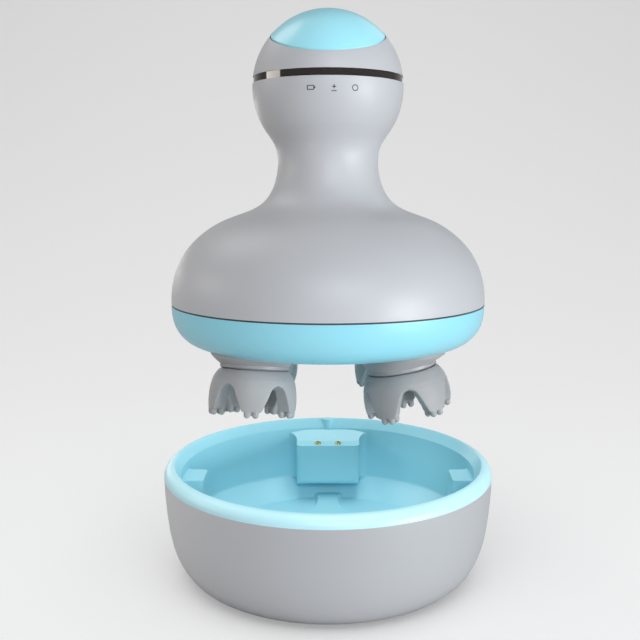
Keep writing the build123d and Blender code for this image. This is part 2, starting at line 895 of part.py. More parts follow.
with BuildPart() as gearbox_screws:
    add(rods(post_points, screw_head_radius, deck_z + snug_gap, deck_z + screw_head_height))
    add(rods(post_points, screw_radius - running_gap, upper_plate_z - screw_grip, deck_z + loose_gap))
save(gearbox_screws.part, "gearbox_screws")

with BuildPart() as base_screws:
    head_low = base_z + fit_gap
    head_high = base_z + fit_gap + screw_head_height
    add(rods(post_points, screw_head_radius, head_low, head_high))
    add(rods(post_points, screw_radius - running_gap, base_z + past, lower_plate_z + screw_grip))
save(base_screws.part, "base_screws")

with BuildPart() as sun_axle:
    add(tube(lower_plate_z + axle_floor, level_c - axle_end_gap, sun_axle_radius))
save(sun_axle.part, "sun_axle")

compound_axis = Plane((0, compound_y, 0))
with BuildPart() as compound_axle:
    add(tube(level_b - axle_end_gap, deck_z, compound_axle_radius, frame=compound_axis))
save(compound_axle.part, "compound_axle")

sun_turn = 0.0
compound_turn = meshed_turn(sun_upper_teeth, sun_turn, compound_direction, pinion_teeth)
motor_turn = meshed_turn(wheel_teeth, compound_turn, compound_direction + 180, pinion_teeth)
lap = 0.01

with BuildPart() as sun_gear:
    sun_bore = sun_axle_radius + running_gap
    add(gear(sun_teeth, sun_turn, level_a, gear_face, sun_bore))
    hub_radius = sun_axle_radius + sun_hub_wall
    add(tube(level_a + gear_face - lap, level_b + lap, hub_radius, sun_bore))
    add(gear(sun_upper_teeth, sun_turn, level_b, gear_face, sun_bore))
save(sun_gear.part, "sun_gear")

with BuildPart() as compound_gear:
    axle_at = (0, compound_y)
    bore = compound_axle_radius + running_gap
    pinion_face = gear_face + level_gap + lap
    add(gear(pinion_teeth, compound_turn, level_b, pinion_face, bore, axle_at))
    add(gear(wheel_teeth, compound_turn, level_c, wheel_face, bore, axle_at))
save(compound_gear.part, "compound_gear")

with BuildPart() as motor_pinion:
    add(gear(pinion_teeth, motor_turn, level_c, wheel_face, motor_shaft_radius + snug_gap))
save(motor_pinion.part, "motor_pinion")

with BuildPart() as motor_shaft:
    add(tube(level_c, deck_z + motor_shaft_reach, motor_shaft_radius))
save(motor_shaft.part, "motor_shaft")

with BuildPart() as motor_can:
    can_top = deck_z + motor_length
    add(tube(deck_z, can_top, motor_radius))
    add(tube(upper_plate_z + motor_boss_gap, deck_z, motor_boss_radius))
    add(tube(can_top, can_top + motor_cap_height, motor_radius - motor_cap_inset))
    add(
        tube(
            upper_plate_z,
            deck_z + motor_shaft_reach + join,
            motor_shaft_radius + running_gap,
        ),
        mode=Mode.SUBTRACT,
    )
    add(
        rods(motor_screw_points, screw_radius, deck_z - past, deck_z + motor_screw_reach + join),
        mode=Mode.SUBTRACT,
    )
save(motor_can.part, "motor_can")

with BuildPart() as motor_screws:
    head_low = upper_plate_z - small_head_height
    add(rods(motor_screw_points, small_head_radius, head_low, upper_plate_z - snug_gap))
    add(
        rods(
            motor_screw_points,
            screw_radius - running_gap,
            upper_plate_z - loose_gap,
            deck_z + motor_screw_reach,
        )
    )
save(motor_screws.part, "motor_screws")

for number, angle in enumerate(head_angles, start=1):
    at_x, at_y, _ = polar(head_ring_radius, angle)
    frame = head_frame(angle)
    upright = Plane((at_x, at_y, 0))
    gear_top = level_a + gear_face

    with BuildPart() as output_gear:
        turn = meshed_turn(sun_teeth, sun_turn, angle, output_teeth)
        bore = journal_radius + snug_gap
        add(gear(output_teeth, turn, level_a, gear_face, bore, (at_x, at_y)))
    save(output_gear.part, f"output_gear_{number}")

    # Crank: upright journal above, leaning pin below its pivot.
    with BuildPart() as crank:
        pivot_z = base_z - pivot_drop
        shoulder_low = lower_plate_z + plate_thickness + loose_gap
        add(tube(pivot_z, gear_top + join + loose_gap, journal_radius, frame=upright))
        add(tube(shoulder_low, level_a, journal_radius + shoulder_wall, frame=upright))
        add(tube(gear_top + join, deck_z - head_gap, stub_radius, frame=upright))
        add(tube(-crank_pin_length, past, crank_pin_radius, frame=frame))
        with Locations((at_x, at_y, pivot_z)):
            Sphere(journal_radius)
    save(crank.part, f"crank_{number}")

    # Skirt: a straight cuff under the gearbox and a cone down to the leaning head.
    with BuildPart() as skirt:
        cuff_low = base_z + cuff_lift
        neck = frame.offset(-skirt_neck_drop)
        with BuildSketch(Plane((at_x, at_y, cuff_low))):
            Circle(skirt_radius)
        with BuildSketch(neck):
            Circle(skirt_neck_radius)
        loft()
        with BuildSketch(Plane((at_x, at_y, cuff_low))):
            Circle(cuff_inner)
        with BuildSketch(neck):
            Circle(skirt_neck_radius - skirt_wall)
        loft(mode=Mode.SUBTRACT)
        add(tube(cuff_low, lower_plate_z - loose_gap, skirt_radius, cuff_inner, upright))
    save(skirt.part, f"skirt_{number}")

    # Rigid core that turns on the crank's pin and carries the silicone pad.
    lip_top = -collar_drop + lip_height
    with BuildPart() as head_core:
        bore = crank_pin_radius + running_gap
        bore_end = -crank_pin_length - pin_end_gap
        add(
            turned(
                [
                    (0, -core_length),
                    (core_radius, -core_length),
                    (core_radius, -collar_drop),
                    (collar_radius - lip_in, -collar_drop),
                    (collar_radius + lip_out, -collar_drop + lip_step),
                    (collar_radius + lip_out, lip_top),
                    (collar_radius - cup_in, lip_top),
                    (collar_radius - cup_in, -collar_drop + cup_depth),
                    (core_radius, -collar_drop + cup_depth),
                    (bore + bearing_wall, -bearing_drop),
                    (bore, -bearing_drop),
                    (bore, bore_end),
                    (0, bore_end),
                ],
                frame,
            )
        )
    save(head_core.part, f"head_core_{number}")

    # Silicone pad: a hollow flower cut into five fingers, each with a cluster of nubs.
    with BuildPart() as head_pad:
        pad_top = -collar_drop - running_gap
        root = core_radius + loose_gap
        root_low = -bulge_drop + hollow_rise
        with BuildSketch(section_of(frame)):
            with BuildLine():
                Line((root, pad_top), (collar_radius, pad_top))
                Spline(
                    (collar_radius, pad_top),
                    (bulge_radius - shoulder_in, -collar_drop - shoulder_drop),
                    (bulge_radius, -bulge_drop),
                    (tip_outer, -tip_drop),
                )
                Line((tip_outer, -tip_drop), (tip_inner, -tip_drop))
                Line((tip_inner, -tip_drop), (tip_inner, -bulge_drop - hollow_drop))
                Line((tip_inner, -bulge_drop - hollow_drop), (root, root_low))
                Line((root, root_low), (root, pad_top))
            make_face()
        revolve(axis=Axis(frame.origin, frame.z_dir))
        arch_foot = arch_apex + arch_half_top
        for finger in range(finger_count):
            gap = radians(head_turns[number - 1] + 90 + 360 * (finger + 0.5) / finger_count)
            outward = frame.x_dir * cos(gap) + frame.y_dir * sin(gap)
            sideways = frame.z_dir.cross(outward)
            start = frame.origin + outward * (core_radius + past)
            with BuildSketch(Plane(start, x_dir=sideways, z_dir=outward)):
                with BuildLine():
                    ThreePointArc(
                        (-arch_half_top, -arch_foot), (0, -arch_apex), (arch_half_top, -arch_foot)
                    )
                    Polyline(
                        (arch_half_top, -arch_foot),
                        (arch_half_bottom, -tip_drop - past),
                        (-arch_half_bottom, -tip_drop - past),
                        (-arch_half_top, -arch_foot),
                    )
                make_face()
            extrude(amount=2 * bulge_radius, mode=Mode.SUBTRACT)
        tip_middle = (tip_outer + tip_inner) / 2
        for finger in range(finger_count):
            middle = radians(head_turns[number - 1] + 90 + 360 * finger / finger_count)
            outward = frame.x_dir * cos(middle) + frame.y_dir * sin(middle)
            at = frame.origin + outward * tip_middle - frame.z_dir * (tip_drop - nub_root)
            with BuildSketch(Plane(at, x_dir=outward, z_dir=-frame.z_dir)):
                with GridLocations(nub_pitch, nub_pitch, 2, 2):
                    Circle(nub_radius)
            extrude(amount=nub_length + nub_root)
    save(head_pad.part, f"head_pad_{number}")

# ======== Electronics ========

with BuildPart() as battery_cradle:
    cup_inner = battery_radius + head_gap
    add(tube(cup_z, cup_z + deck_thickness, deck_radius))
    add(tube(cup_z, cup_z + cradle_height, cup_inner + cradle_wall))
    add(tube(cup_z + cradle_floor, cup_z + battery_length, cup_inner), mode=Mode.SUBTRACT)
    add(rods(leg_points, leg_pin_radius, deck_z, cup_z + join))
    add(rods(leg_points, leg_radius, deck_z, board_z))
save(battery_cradle.part, "battery_cradle")

with BuildPart() as battery_cell:
    cell_low = cup_z + cradle_floor + running_gap
    cell_top = cell_low + battery_length
    add(tube(cell_low, cell_top, battery_radius))
    add(tube(cell_top, cell_top + terminal_height, terminal_radius))
save(battery_cell.part, "battery_cell")

board_top = board_z + main_board_thickness
with BuildPart() as main_board:
    add(tube(board_z, board_top, board_outer, board_inner))
    add(
        rods(leg_points, leg_pin_radius + fit_gap, board_z - past, board_top + past),
        mode=Mode.SUBTRACT,
    )
save(main_board.part, "main_board")

with BuildPart() as board_components:
    for length, width, height, place in board_blocks:
        add(block(length, width, board_top, board_top + height, place))
    add(rods(capacitor_places, capacitor_radius, board_top, board_top + capacitor_height))
save(board_components.part, "board_components")

with BuildPart() as knob_frame:
    add(tube(disc_z, disc_z + frame_thickness, frame_radius))
    add(tube(-knob_inner / 2, button_board_offset, switch_size, frame=knob_frame_plane))
    add(tube(disc_z - knob_radius, disc_z, knob_radius), mode=Mode.SUBTRACT)
save(knob_frame.part, "knob_frame")

switch_base = button_board_offset + board_thickness
with BuildPart() as button_board:
    add(
        tube(button_board_offset, switch_base, button_board_radius, frame=knob_frame_plane)
    )
save(button_board.part, "button_board")

switch_top = switch_base + switch_height
plunger_top = switch_top + plunger_proud
plunger_low = plunger_top - plunger_length
with BuildPart() as tact_switch:
    with BuildSketch(knob_frame_plane.offset(switch_base)):
        Rectangle(switch_size, switch_size)
    extrude(amount=switch_height)
    add(
        tube(
            plunger_low - button_travel - pin_end_gap,
            switch_top + past,
            plunger_radius + running_gap,
            frame=knob_frame_plane,
        ),
        mode=Mode.SUBTRACT,
    )
save(tact_switch.part, "tact_switch")

with BuildPart() as switch_plunger:
    add(tube(plunger_low, plunger_top, plunger_radius, frame=knob_frame_plane))
save(switch_plunger.part, "switch_plunger")

with BuildPart() as power_button:
    with Locations((0, 0, knob_z)):
        Sphere(knob_radius)
        Sphere(knob_radius - cap_thickness, mode=Mode.SUBTRACT)
    add(tube(0, knob_radius + past, cap_radius, frame=knob_frame_plane), mode=Mode.INTERSECT)
    add(
        tube(
            cap_offset - cap_skirt,
            cap_offset + head_gap,
            cap_radius,
            cap_radius - cap_skirt_wall,
            knob_frame_plane,
        )
    )
    post_top = knob_radius - cap_thickness / 2
    add(tube(plunger_top + snug_gap, post_top, post_size, frame=knob_frame_plane))
save(power_button.part, "power_button")

with BuildPart() as indicator_board:
    board_foot = disc_z + frame_thickness
    lamp_y = lamp_board_y - (board_thickness + lamp_depth) / 2
    add(
        block(
            lamp_board_width,
            board_thickness,
            board_foot,
            slot_high_z + lamp_board_rise,
            (0, lamp_board_y),
        )
    )
    for lamp_x in lamp_places:
        lamp_top = slot_low_z + lamp_depth
        add(block(lamp_length, lamp_depth + loose_gap, slot_low_z, lamp_top, (lamp_x, lamp_y)))
save(indicator_board.part, "indicator_board")
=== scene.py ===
"""Electric scalp massager held above its charging dock: finishes, soft pieces, light and camera."""

import json
import logging
import math
from dataclasses import dataclass, field, replace
from enum import Enum

import bmesh
import bpy
from mathutils import Matrix, Vector


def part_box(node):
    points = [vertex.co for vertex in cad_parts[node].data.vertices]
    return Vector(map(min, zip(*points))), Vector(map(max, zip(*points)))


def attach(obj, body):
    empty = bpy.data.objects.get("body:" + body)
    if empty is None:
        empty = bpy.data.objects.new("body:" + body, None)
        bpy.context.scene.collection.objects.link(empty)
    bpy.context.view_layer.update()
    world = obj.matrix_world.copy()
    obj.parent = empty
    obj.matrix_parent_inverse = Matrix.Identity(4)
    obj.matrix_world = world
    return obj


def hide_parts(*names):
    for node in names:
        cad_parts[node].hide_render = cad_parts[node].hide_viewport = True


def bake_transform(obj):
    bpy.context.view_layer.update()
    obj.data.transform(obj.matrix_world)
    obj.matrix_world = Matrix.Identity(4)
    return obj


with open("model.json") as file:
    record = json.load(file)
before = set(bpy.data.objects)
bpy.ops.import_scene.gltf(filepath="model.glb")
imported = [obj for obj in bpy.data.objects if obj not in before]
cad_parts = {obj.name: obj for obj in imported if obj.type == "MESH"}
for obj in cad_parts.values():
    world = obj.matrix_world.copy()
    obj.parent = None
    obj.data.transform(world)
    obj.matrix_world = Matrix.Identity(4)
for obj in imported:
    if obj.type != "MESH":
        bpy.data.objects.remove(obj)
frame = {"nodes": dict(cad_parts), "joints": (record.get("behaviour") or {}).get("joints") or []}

MM = 0.001
Colour = tuple[float, float, float]
Place = tuple[float, float, float]
Sockets = tuple[bpy.types.NodeSocket, bpy.types.NodeSocket]
log = logging.getLogger("massager")
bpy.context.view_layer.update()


class Slot(Enum):
    """Material slots of the record, by name."""

    SILICONE = "silicone_grey"
    SKIRT = "skirt_grey"
    SEAL = "seal_black"


class Zone(Enum):
    """Side of a round edge that takes a finish's second colour."""

    INSIDE = "inside"
    OUTSIDE = "outside"


# ---- Shader groups shared by the finishes ----


def wire(tree: bpy.types.NodeTree, *pairs: Sockets) -> None:
    """Join pairs of sockets, each from an output to an input."""
    for source, target in pairs:
        tree.links.new(source, target)


def new_group(name: str, inputs: dict[str, float], output: str, *more: str) -> bpy.types.NodeTree:
    """Start a shader node group with a vector input and named value inputs.

    Args:
        name: Name of the group.
        inputs: Value inputs and their defaults.
        output: Name of the group's first value output.
        more: Names of any further value outputs.

    Returns:
        The group's node tree, with its input and output nodes placed.
    """
    group = bpy.data.node_groups.new(name, "ShaderNodeTree")
    group.interface.new_socket("Vector", in_out="INPUT", socket_type="NodeSocketVector")
    for label, value in inputs.items():
        socket = group.interface.new_socket(label, in_out="INPUT", socket_type="NodeSocketFloat")
        socket.default_value = value
    for label in (output, *more):
        group.interface.new_socket(label, in_out="OUTPUT", socket_type="NodeSocketFloat")
    group.nodes.new("NodeGroupInput").name = "in"
    group.nodes.new("NodeGroupOutput").name = "out"
    return group


def noise(tree: bpy.types.NodeTree, detail: float) -> bpy.types.ShaderNode:
    """Place a noise texture whose scale comes from a socket.

    Args:
        tree: Node tree that takes the texture.
        detail: Octaves of finer noise.

    Returns:
        The texture's node.
    """
    node = tree.nodes.new("ShaderNodeTexNoise")
    node.inputs["Detail"].default_value = detail
    return node


def moulded_skin(pit_share: float = 0.6) -> bpy.types.NodeTree:
    """Spark-eroded mould texture: fine pitted grain and a slow drift of tone.

    Args:
        pit_share: Depth of the pits beside that of the grain.

    Returns:
        Group with a Height for a Bump node and a Drift from 0 to 1.
    """
    group = new_group(
        "moulded_skin", {"Grain Scale": 3500.0, "Drift Scale": 18.0}, "Height", "Drift"
    )
    given, made = group.nodes["in"].outputs, group.nodes["out"].inputs
    grain = noise(group, detail=3.0)
    pits = group.nodes.new("ShaderNodeTexVoronoi")
    drift = noise(group, detail=2.0)
    for texture, scale in ((grain, "Grain Scale"), (pits, "Grain Scale"), (drift, "Drift Scale")):
        wire(
            group,
            (given["Vector"], texture.inputs["Vector"]),
            (given[scale], texture.inputs["Scale"]),
        )
    relief = group.nodes.new("ShaderNodeMath")
    relief.operation = "MULTIPLY_ADD"
    relief.inputs[1].default_value = pit_share
    wire(
        group,
        (pits.outputs["Distance"], relief.inputs[0]),
        (grain.outputs["Fac"], relief.inputs[2]),
        (relief.outputs[0], made["Height"]),
        (drift.outputs["Fac"], made["Drift"]),
    )
    return group


def handled_gloss(faintest: float = 0.3, strongest: float = 0.7) -> bpy.types.NodeTree:
    """Uneven polish from handling.

    Args:
        faintest: Smudge noise that counts as no handling.
        strongest: Smudge noise that counts as full handling.

    Returns:
        Group whose Roughness wanders between its Low and High inputs.
    """
    group = new_group("handled_gloss", {"Scale": 30.0, "Low": 0.3, "High": 0.4}, "Roughness")
    given, made = group.nodes["in"].outputs, group.nodes["out"].inputs
    smudge = noise(group, detail=4.0)
    spread = group.nodes.new("ShaderNodeMapRange")
    spread.inputs["From Min"].default_value = faintest
    spread.inputs["From Max"].default_value = strongest
    wire(
        group,
        (given["Vector"], smudge.inputs["Vector"]),
        (given["Scale"], smudge.inputs["Scale"]),
        (smudge.outputs["Fac"], spread.inputs["Value"]),
        (given["Low"], spread.inputs["To Min"]),
        (given["High"], spread.inputs["To Max"]),
        (spread.outputs["Result"], made["Roughness"]),
    )
    return group


def turned_lines(wander: float = 1.5) -> bpy.types.NodeTree:
    """Fine rings left by a lathe about the Z axis of the vector.

    Args:
        wander: Unevenness of the rings.

    Returns:
        Group with a Height for a Bump node.
    """
    group = new_group("turned_lines", {"Pitch Scale": 2500.0}, "Height")
    given, made = group.nodes["in"].outputs, group.nodes["out"].inputs
    rings = group.nodes.new("ShaderNodeTexWave")
    rings.wave_type = "RINGS"
    rings.rings_direction = "Z"
    rings.inputs["Distortion"].default_value = wander
    wire(
        group,
        (given["Vector"], rings.inputs["Vector"]),
        (given["Pitch Scale"], rings.inputs["Scale"]),
        (rings.outputs["Fac"], made["Height"]),
    )
    return group


def round_spot() -> bpy.types.NodeTree:
    """Soft-edged upright round spot about the vector's origin.

    Returns:
        Group with a Mask that is 1 inside the Radius and 0 past its Edge.
    """
    group = new_group("round_spot", {"Radius": 0.5 * MM, "Edge": 0.1 * MM}, "Mask")
    given, made = group.nodes["in"].outputs, group.nodes["out"].inputs
    flatten = group.nodes.new("ShaderNodeVectorMath")
    flatten.operation = "MULTIPLY"
    flatten.inputs[1].default_value = (1.0, 1.0, 0.0)
    length = group.nodes.new("ShaderNodeVectorMath")
    length.operation = "LENGTH"
    outer = group.nodes.new("ShaderNodeMath")
    outer.operation = "ADD"
    mask = group.nodes.new("ShaderNodeMapRange")
    mask.inputs["To Min"].default_value = 1.0
    mask.inputs["To Max"].default_value = 0.0
    wire(
        group,
        (given["Vector"], flatten.inputs[0]),
        (flatten.outputs["Vector"], length.inputs[0]),
        (given["Radius"], outer.inputs[0]),
        (given["Edge"], outer.inputs[1]),
        (length.outputs["Value"], mask.inputs["Value"]),
        (given["Radius"], mask.inputs["From Min"]),
        (outer.outputs[0], mask.inputs["From Max"]),
        (mask.outputs["Result"], made["Mask"]),
    )
    return group


@dataclass(frozen=True)
class ShaderGroups:
    """The shader groups, each built once."""

    skin: bpy.types.NodeTree = field(default_factory=moulded_skin)
    gloss: bpy.types.NodeTree = field(default_factory=handled_gloss)
    rings: bpy.types.NodeTree = field(default_factory=turned_lines)
    spot: bpy.types.NodeTree = field(default_factory=round_spot)


GROUPS = ShaderGroups()


# ---- Finishes ----


@dataclass(frozen=True)
class Finish:
    """Moulded or metal surface with grain, tone drift and uneven polish.

    Colours are linear. Grain and drift are given as texture scales per metre, so 3000 is about a
    third of a millimetre. A turned surface has lathe rings in place of the grain.
    """

    name: str
    colour: Colour
    drift_colour: Colour
    roughness: tuple[float, float] = (0.4, 0.5)
    metallic: float = 0.0
    coat: float = 0.0
    coat_roughness: float = 0.1
    subsurface: float = 0.0
    scatter: Colour = (1.0, 0.8, 0.7)
    sheen: float = 0.0
    specular: float = 0.5
    grain_scale: float = 3500.0
    grain_depth: float = 0.02 * MM
    drift_scale: float = 18.0
    turned: bool = False

    def group(self, tree: bpy.types.NodeTree, kind: bpy.types.NodeTree) -> bpy.types.ShaderNode:
        """Place a shared group in a material, fed with Object coordinates.

        Args:
            tree: Node tree of the material.
            kind: Shader group to place.

        Returns:
            The placed group's node.
        """
        node = tree.nodes.new("ShaderNodeGroup")
        node.node_tree = kind
        wire(tree, (tree.nodes["place"].outputs["Object"], node.inputs["Vector"]))
        return node

    def even_values(self) -> dict[str, float | Colour]:
        """List the values that are the same all over the surface.

        Returns:
            Each value by the name of its socket on the shader.
        """
        return {
            "Metallic": self.metallic,
            "Coat Weight": self.coat,
            "Coat Roughness": self.coat_roughness,
            "Specular IOR Level": self.specular,
            "Subsurface Weight": self.subsurface,
            "Subsurface Radius": self.scatter,
            "Subsurface Scale": MM,
            "Sheen Weight": self.sheen,
        }

    def material(self) -> bpy.types.Material:
        """Build the finish's material.

        Returns:
            A node material whose colour, roughness and bump vary over the surface.
        """
        made = bpy.data.materials.new(self.name)
        made.use_nodes = True
        tree = made.node_tree
        shader = tree.nodes["Principled BSDF"]
        for socket, value in self.even_values().items():
            shader.inputs[socket].default_value = value
        tree.nodes.new("ShaderNodeTexCoord").name = "place"
        skin = self.group(tree, GROUPS.skin)
        skin.inputs["Grain Scale"].default_value = self.grain_scale
        skin.inputs["Drift Scale"].default_value = self.drift_scale
        gloss = self.group(tree, GROUPS.gloss)
        gloss.inputs["Low"].default_value, gloss.inputs["High"].default_value = self.roughness
        relief = self.group(tree, GROUPS.rings) if self.turned else skin
        tone = tree.nodes.new("ShaderNodeMix")
        tone.name = "tone"
        tone.data_type = "RGBA"
        tone.inputs["A"].default_value = (*self.colour, 1.0)
        tone.inputs["B"].default_value = (*self.drift_colour, 1.0)
        bump = tree.nodes.new("ShaderNodeBump")
        bump.inputs["Distance"].default_value = self.grain_depth
        wire(
            tree,
            (skin.outputs["Drift"], tone.inputs["Factor"]),
            (tone.outputs["Result"], shader.inputs["Base Color"]),
            (gloss.outputs["Roughness"], shader.inputs["Roughness"]),
            (relief.outputs["Height"], bump.inputs["Height"]),
            (bump.outputs["Normal"], shader.inputs["Normal"]),
        )
        return made


@dataclass(frozen=True)
class PaintedLightAndShadeFinish(Finish):
    """Finish with a second colour inside or outside a circle about an upright axis; it paints light
    and shade: the tray's lighter rim and the dark spot in each pin's tip.
    """

    second_colour: Colour = (0.5, 0.5, 0.5)
    zone: Zone = Zone.INSIDE
    centre: tuple[float, float] = (0.0, 0.0)
    edge_radius: float = 1.0 * MM
    edge_width: float = 0.1 * MM

    def material(self) -> bpy.types.Material:
        """Build the finish and mix the second colour in on its side of the edge.

        Returns:
            The material with both colours.
        """
        made = super().material()
        tree = made.node_tree
        shift = tree.nodes.new("ShaderNodeMapping")
        shift.inputs["Location"].default_value = (-self.centre[0], -self.centre[1], 0.0)
        spot = self.group(tree, GROUPS.spot)
        spot.inputs["Radius"].default_value = self.edge_radius
        spot.inputs["Edge"].default_value = self.edge_width
        both = tree.nodes.new("ShaderNodeMix")
        both.data_type = "RGBA"
        first, second = ("A", "B") if self.zone is Zone.INSIDE else ("B", "A")
        both.inputs[second].default_value = (*self.second_colour, 1.0)
        wire(
            tree,
            (tree.nodes["place"].outputs["Object"], shift.inputs["Vector"]),
            (shift.outputs["Vector"], spot.inputs["Vector"]),
            (spot.outputs["Mask"], both.inputs["Factor"]),
            (tree.nodes["tone"].outputs["Result"], both.inputs[first]),
            (both.outputs["Result"], tree.nodes["Principled BSDF"].inputs["Base Color"]),
        )
        return made


SOFT_TOUCH = Finish(
    "soft_touch_grey",
    (0.52, 0.52, 0.54),
    (0.50, 0.50, 0.52),
    roughness=(0.42, 0.5),
    coat=0.12,
    coat_roughness=0.35,
    sheen=0.1,
)
DOCK_GREY = Finish(
    "dock_shell_grey",
    (0.44, 0.44, 0.455),
    (0.42, 0.42, 0.435),
    roughness=(0.4, 0.48),
    coat=0.15,
    coat_roughness=0.3,
)
SKY_SATIN = Finish(
    "sky_blue_satin",
    (0.31, 0.71, 0.83),
    (0.29, 0.69, 0.82),
    roughness=(0.3, 0.38),
    coat=0.25,
    coat_roughness=0.2,
    grain_depth=0.01 * MM,
)
# Lighter copy of the sky blue satin for the cap: painted light for the light that falls on its
# upturned face; the cap is the same plastic as the cover.
CAP_BLUE_PAINTED_LIGHT = replace(
    SKY_SATIN, name="cap_satin_painted_light", colour=(0.40, 0.84, 0.95), drift_colour=(0.38, 0.82, 0.94)
)
# Outside a radius of 60.2 mm, on the rim's top, the tray is painted a lighter blue: painted light
# where the light falls on the upturned rim.
TRAY_BLUE = PaintedLightAndShadeFinish(
    "tray_pale_blue",
    (0.38, 0.74, 0.83),
    (0.36, 0.72, 0.82),
    roughness=(0.34, 0.42),
    coat=0.2,
    coat_roughness=0.25,
    grain_depth=0.012 * MM,
    second_colour=(0.50, 0.80, 0.87),
    zone=Zone.OUTSIDE,
    edge_radius=60.2 * MM,
    edge_width=0.9 * MM,
)
SMOKED_GLOSS = Finish(
    "smoked_window",
    (0.018, 0.014, 0.012),
    (0.03, 0.022, 0.018),
    roughness=(0.04, 0.08),
    coat=1.0,
    coat_roughness=0.03,
    grain_depth=0.002 * MM,
    drift_scale=60.0,
)
SEAL_RUBBER = Finish(
    "seal_rubber", (0.05, 0.06, 0.065), (0.035, 0.04, 0.045), roughness=(0.6, 0.75), sheen=0.2
)
PRINT_INK = Finish(
    "printed_ink", (0.03, 0.03, 0.035), (0.045, 0.045, 0.05), roughness=(0.5, 0.6)
)
SILICONE = Finish(
    "finger_silicone",
    (0.37, 0.365, 0.37),
    (0.34, 0.335, 0.34),
    roughness=(0.46, 0.58),
    subsurface=0.12,
    sheen=0.15,
    grain_scale=2500.0,
    grain_depth=0.03 * MM,
)
ELASTOMER = Finish(
    "skirt_elastomer", (0.36, 0.36, 0.37), (0.33, 0.33, 0.34), roughness=(0.5, 0.6), sheen=0.2
)
CORE_GREY = Finish(
    "core_plastic", (0.34, 0.34, 0.35), (0.31, 0.31, 0.32), roughness=(0.38, 0.46)
)
BLACK_PLASTIC = Finish(
    "black_moulding", (0.02, 0.02, 0.022), (0.03, 0.03, 0.032), roughness=(0.45, 0.6)
)
FOOT_RUBBER = Finish(
    "foot_rubber", (0.04, 0.04, 0.04), (0.06, 0.06, 0.06), roughness=(0.75, 0.9), sheen=0.2
)
NYLON = Finish(
    "natural_nylon", (0.78, 0.77, 0.72), (0.72, 0.71, 0.65), roughness=(0.4, 0.5), subsurface=0.1
)
STEEL = Finish(
    "turned_steel",
    (0.58, 0.58, 0.6),
    (0.5, 0.5, 0.52),
    roughness=(0.22, 0.34),
    metallic=1.0,
    grain_depth=0.004 * MM,
    turned=True,
)
GOLD = Finish(
    "gold_plate",
    (0.88, 0.63, 0.25),
    (0.8, 0.55, 0.2),
    roughness=(0.18, 0.28),
    metallic=1.0,
    grain_depth=0.003 * MM,
    turned=True,
)
# Gold with a near-black spot at the middle of the tip: painted shade standing in for a hollow tip,
# which the pin's mesh does not have.
HOLLOW_SHADE_GOLD = PaintedLightAndShadeFinish(
    "gold_painted_hollow_shade",
    GOLD.colour,
    GOLD.drift_colour,
    roughness=GOLD.roughness,
    metallic=GOLD.metallic,
    grain_depth=GOLD.grain_depth,
    turned=GOLD.turned,
    second_colour=(0.02, 0.015, 0.01),
    edge_radius=0.55 * MM,
    edge_width=0.1375 * MM,
)
BRONZE = Finish(
    "sintered_bronze", (0.5, 0.3, 0.14), (0.42, 0.25, 0.12), roughness=(0.45, 0.6), metallic=1.0
)
SOLDER_MASK = Finish(
    "solder_mask",
    (0.01, 0.14, 0.06),
    (0.02, 0.2, 0.09),
    roughness=(0.25, 0.35),
    coat=0.4,
    drift_scale=400.0,
)
CELL_WRAP = Finish(
    "cell_wrap",
    (0.05, 0.14, 0.45),
    (0.06, 0.17, 0.5),
    roughness=(0.25, 0.35),
    coat=0.5,
    grain_depth=0.01 * MM,
)
BACKDROP_PAPER = Finish(
    "backdrop_paper",
    (0.62, 0.62, 0.62),
    (0.61, 0.61, 0.61),
    roughness=(0.85, 0.95),
    specular=0.1,
    grain_depth=0.01 * MM,
    drift_scale=2.0,
)


# ---- Meshes ----


def link(mesh: bpy.types.Mesh, name: str, material: bpy.types.Material) -> bpy.types.Object:
    """Put a finished mesh in the scene, smooth shaded and dressed.

    Args:
        mesh: Mesh to show.
        name: Name of the new object.
        material: Material to dress it with.

    Returns:
        The new object.
    """
    piece = bpy.data.objects.new(name, mesh)
    bpy.context.scene.collection.objects.link(piece)
    mesh.materials.clear()
    mesh.materials.append(material)
    mesh.shade_smooth()
    return piece


def from_bmesh(
    bm: bmesh.types.BMesh, name: str, material: bpy.types.Material
) -> bpy.types.Object:
    """Turn a bmesh into a scene object and free it.

    Args:
        bm: Mesh to turn into an object.
        name: Name of the object and its mesh.
        material: Material to dress it with.

    Returns:
        The new object.
    """
    mesh = bpy.data.meshes.new(name)
    bm.to_mesh(mesh)
    bm.free()
    return link(mesh, name, material)


def face_outwards(bm: bmesh.types.BMesh, middle: Vector) -> None:
    """Make a skin's faces point away from a place inside it.

    Args:
        bm: Mesh of one connected skin.
        middle: Place on the inner side of the skin's first face.
    """
    bmesh.ops.recalc_face_normals(bm, faces=bm.faces)
    bm.faces.ensure_lookup_table()
    face = bm.faces[0]
    if face.normal.dot(face.calc_center_median() - middle) < 0:
        bmesh.ops.reverse_faces(bm, faces=bm.faces)


def applied(piece: bpy.types.Object) -> None:
    """Bake a piece's modifiers into its mesh.

    Args:
        piece: Object whose modifiers are replaced by their result.
    """
    bpy.context.view_layer.update()
    graph = bpy.context.evaluated_depsgraph_get()
    mesh = bpy.data.meshes.new_from_object(piece.evaluated_get(graph))
    old = piece.data
    piece.modifiers.clear()
    piece.data = mesh
    mesh.name = old.name
    bpy.data.meshes.remove(old)
    mesh.shade_smooth()


def dress(finish: Finish, *names: str) -> None:
    """Give CAD nodes one finish.

    Args:
        finish: Finish whose material they share.
        names: CAD nodes to dress.
    """
    material = finish.material()
    for name in names:
        mesh = frame["nodes"][name].data
        mesh.materials.clear()
        mesh.materials.append(material)
        log.info("dressed %s with %s", name, material.name)


# ---- Sub-assemblies ----


